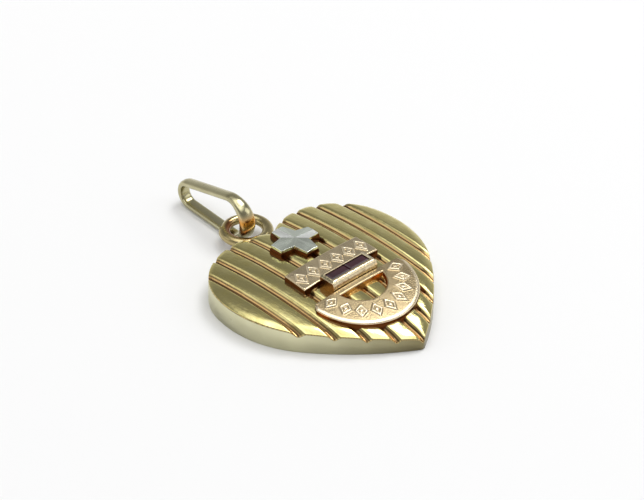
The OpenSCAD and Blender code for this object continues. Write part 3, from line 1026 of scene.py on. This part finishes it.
def make_eyelet():
    """The ring and its solder root, merged as solder flows, with a fillet between them."""
    up = np.array([0, 0, 1])
    rings = []
    for i in range(EYELET_RINGS):
        t = 2 * math.pi * i / EYELET_RINGS
        out = np.array([math.cos(t), math.sin(t), 0])
        aside = min(max((abs(math.remainder(t - math.pi / 2, 2 * math.pi)) - FLAT_FROM) / FLAT_OVER, 0), 1)
        flat = EYELET_FLAT * aside * aside * (3 - 2 * aside)
        middle = np.array([0, EYELET_Y, EYELET_Z]) + out * (EYELET_R + flat / 2)
        rings.append(ring_points(middle, out, up, (EYELET_WIRE + flat) / 2, EYELET_WIRE / 2, 1,
                                 EYELET_SECTION))
    wire = loft("soldered_eyelet", rings, closed=True)
    side = np.array([1, 0, 0])
    rings = []
    for y, half, high in ROOT_RUN:
        middle = np.array([0, y, EYELET_Z])
        rings.append(ring_points(middle, side, up, half, high, ROOT_POWER, EYELET_SECTION))
    root = loft("solder_root", rings)
    for part in (wire, root):
        part.data.transform(Matrix.Scale(1 / MM, 4))
    with bpy.context.temp_override(active_object=wire, selected_editable_objects=[wire, root]):
        bpy.ops.object.join()
    remesh = wire.modifiers.new("flow", "REMESH")
    remesh.mode = "VOXEL"
    remesh.voxel_size = FLOW_VOXEL
    smooth = wire.modifiers.new("soften", "SMOOTH")
    smooth.factor = FLOW_SMOOTH
    smooth.iterations = FLOW_PASSES
    flowed = bpy.data.meshes.new_from_object(wire.evaluated_get(bpy.context.evaluated_depsgraph_get()))
    wire.modifiers.clear()
    wire.data = flowed
    wire.data.transform(Matrix.Scale(MM, 4))
    wire.data.shade_smooth()
    # Painted copper reflection and painted shade inside the ring, most on its left
    x, y, z = points_of(wire).T
    inward = EYELET_R + INSIDE_FROM - np.hypot(x, y - EYELET_Y)
    mark_painted_light(wire, np.clip(inward / INSIDE_OVER, 0, 1) * np.clip(LEFT_SHARE - x / LEFT_OVER, 0, 1))
    finish_piece(wire, "heart", ["eyelet"], "yellow_gold", RING_GOLD)


def bail_place(u, v, w):
    """A point of the loop's own plane, turned and set where the bail rests."""
    lean = math.pi / 2 - TAPER
    y = u * math.sin(lean) + v * math.cos(lean)
    down = u * math.cos(lean) - v * math.sin(lean)
    c, s = math.cos(BAIL_TURN), math.sin(BAIL_TURN)
    return np.array([w * c + y * s + BAIL_X, y * c - w * s + BAIL_Y, BAIL_Z - down])


def bail_path():
    """Inner line of the loop as (centre, radius, outward direction, swell), from the near bend round."""
    path = []
    side = math.pi / 2 - TAPER
    for i in range(NEAR_STEPS):
        t = side + (2 * math.pi - 2 * side) * i / NEAR_STEPS
        swell = (max(0, math.cos(t - math.pi) - SWELL_FROM) / (1 - SWELL_FROM)) ** SWELL_POWER
        path.append(((0, 0), NEAR_R, t, swell))
    for i in range(LIMB_STEPS):
        r = NEAR_R + (FAR_R - NEAR_R) * i / LIMB_STEPS
        path.append(((SPAN * i / LIMB_STEPS, 0), r, -side, 0))
    for i in range(FAR_STEPS):
        path.append(((SPAN, 0), FAR_R, -side + 2 * side * i / FAR_STEPS, 0))
    for i in range(LIMB_STEPS):
        r = FAR_R + (NEAR_R - FAR_R) * i / LIMB_STEPS
        path.append(((SPAN * (1 - i / LIMB_STEPS), 0), r, side, 0))
    return path


def make_bail():
    """A flat gold strip bent into a loop, which thickens round the bend in the eyelet."""
    rings = []
    for (cu, cv), r, t, swell in bail_path():
        thick = STRIP_T + NEAR_SWELL_T * swell
        wide = BAIL_W + NEAR_SWELL_W * swell
        out = (math.cos(t), math.sin(t))
        ring = []
        for i in range(STRIP_SECTION):
            a = 2 * math.pi * i / STRIP_SECTION
            s = 0.5 * thick * math.copysign(abs(math.cos(a)) ** THICK_POWER, math.cos(a)) + thick / 2
            w = 0.5 * wide * math.copysign(abs(math.sin(a)) ** WIDE_POWER, math.sin(a))
            s -= STRIP_CROWN * (2 * w / wide) ** 2 * s / thick
            ring.append(bail_place(cu + (r + s) * out[0], cv + (r + s) * out[1], w))
        rings.append(np.array(ring))
    piece = loft("bent_bail", rings, closed=True)
    x, y, z = points_of(piece).T
    # Painted orange reflection of the ring, round a height on the part inside it
    near = np.clip((EYELET_Y + EYELET_R - y) / RING_REFLECTION_OVER, 0, 1)
    mark_painted_light(piece, near * np.exp(-((z - RING_REFLECTION_Z) / RING_REFLECTION_SPREAD) ** 2))
    finish_piece(piece, "bail", ["bail"], "yellow_gold", WIRE_GOLD)


make_eyelet()
make_bail()


# Floor, light and camera, with their sizes and distances in metres

FLOOR_SIZE = 3
FLOOR_LIFT = 0.04


def make_floor():
    """A matt white table, which lifts to the backdrop's white where it is seen or mirrored."""
    bpy.ops.mesh.primitive_plane_add(size=FLOOR_SIZE)
    floor = bpy.context.object
    floor.name = "table"
    material, tree = new_material("white_table")
    path = add(tree, "ShaderNodeLightPath", {})
    seen = add(tree, "ShaderNodeMath", {0: path.outputs["Is Camera Ray"], 1: path.outputs["Is Glossy Ray"]},
               operation="MAXIMUM")
    seen = add(tree, "ShaderNodeMath", {0: seen.outputs[0], 1: path.outputs["Is Transmission Ray"]},
               operation="MAXIMUM")
    lift = add(tree, "ShaderNodeMath", {0: seen.outputs[0], 1: FLOOR_LIFT}, operation="MULTIPLY")
    shader = add(tree, "ShaderNodeBsdfPrincipled", {
        "Base Color": linear("#F0F0F0"), "Roughness": 0.9, "Emission Color": (1, 1, 1, 1),
        "Emission Strength": lift.outputs[0]})
    add(tree, "ShaderNodeOutputMaterial", {"Surface": shader.outputs["BSDF"]})
    floor.data.materials.append(material)


# (sine of the height above the table, brightness) of the studio
SKY = (
    (0.0, 0.8), (0.3, 0.6), (0.45, 0.4), (0.55, 0.32), (0.64, 0.23),
    (0.77, 0.27), (0.84, 0.9), (0.9, 1.6), (0.95, 2.45), (1.0, 1.3))


def make_world():
    """A dim studio round a broad soft box overhead."""
    world = bpy.data.worlds.new("studio")
    bpy.context.scene.world = world
    world.use_nodes = True
    tree = world.node_tree
    tree.nodes.clear()
    place = add(tree, "ShaderNodeTexCoord", {})
    axes = add(tree, "ShaderNodeSeparateXYZ", {"Vector": place.outputs["Generated"]})
    sky = add(tree, "ShaderNodeValToRGB", {"Fac": axes.outputs["Z"]})
    stops = sky.color_ramp.elements
    while len(stops) < len(SKY):
        stops.new(0.5)
    for stop, (height, level) in zip(stops, SKY):
        stop.position = height
        stop.color = (level, level, level, 1)
    light = add(tree, "ShaderNodeBackground", {"Color": sky.outputs["Color"], "Strength": 1})
    add(tree, "ShaderNodeOutputWorld", {"Surface": light.outputs["Background"]})


def direction(turn, rise):
    """Unit vector towards a compass turn and a rise, in degrees."""
    a, e = math.radians(turn), math.radians(rise)
    return Vector((math.sin(a) * math.cos(e), -math.cos(a) * math.cos(e), math.sin(e)))


def area_light(name, turn, rise, away, size, watts):
    """A square soft box that faces the heart from a direction."""
    lamp = bpy.data.lights.new(name, "AREA")
    lamp.size = size
    lamp.energy = watts
    box = bpy.data.objects.new(name, lamp)
    toward = direction(turn, rise)
    box.location = toward * away
    box.rotation_euler = toward.to_track_quat("Z", "Y").to_euler()
    bpy.context.scene.collection.objects.link(box)


CLIP_START = 0.01


def make_camera():
    """Looks at the heart as the photograph does, from a place moved aside so that it sits off centre."""
    turn, roll = math.radians(CAMERA_TURN), math.radians(CAMERA_ROLL)
    back = direction(CAMERA_TURN, CAMERA_RISE)
    level = Vector((math.cos(turn), math.sin(turn), 0))
    above = back.cross(level)
    right = math.cos(roll) * level + math.sin(roll) * above
    up = math.cos(roll) * above - math.sin(roll) * level
    px_per_mm = FOCAL / SENSOR * PHOTO_W / CAMERA_AWAY
    aim = right * (PHOTO_W / 2 - ORIGIN_PX[0]) / px_per_mm + up * (ORIGIN_PX[1] - PHOTO_H / 2) / px_per_mm
    place = (back * CAMERA_AWAY + aim) * MM
    lens = bpy.data.cameras.new("camera")
    lens.lens = FOCAL
    lens.sensor_width = SENSOR
    lens.clip_start = CLIP_START
    camera = bpy.data.objects.new("camera", lens)
    camera.matrix_world = Matrix((
        (right.x, up.x, back.x, place.x),
        (right.y, up.y, back.y, place.y),
        (right.z, up.z, back.z, place.z),
        (0, 0, 0, 1)))
    bpy.context.scene.collection.objects.link(camera)
    bpy.context.scene.camera = camera


make_floor()
make_world()
area_light("soft_box", turn=95, rise=60, away=0.6, size=0.24, watts=1.0)
area_light("left_card", turn=225, rise=35, away=0.6, size=0.25, watts=0.14)
area_light("right_card", turn=45, rise=35, away=0.6, size=0.25, watts=0.25)
make_camera()
bpy.context.scene.view_settings.view_transform = "Standard"
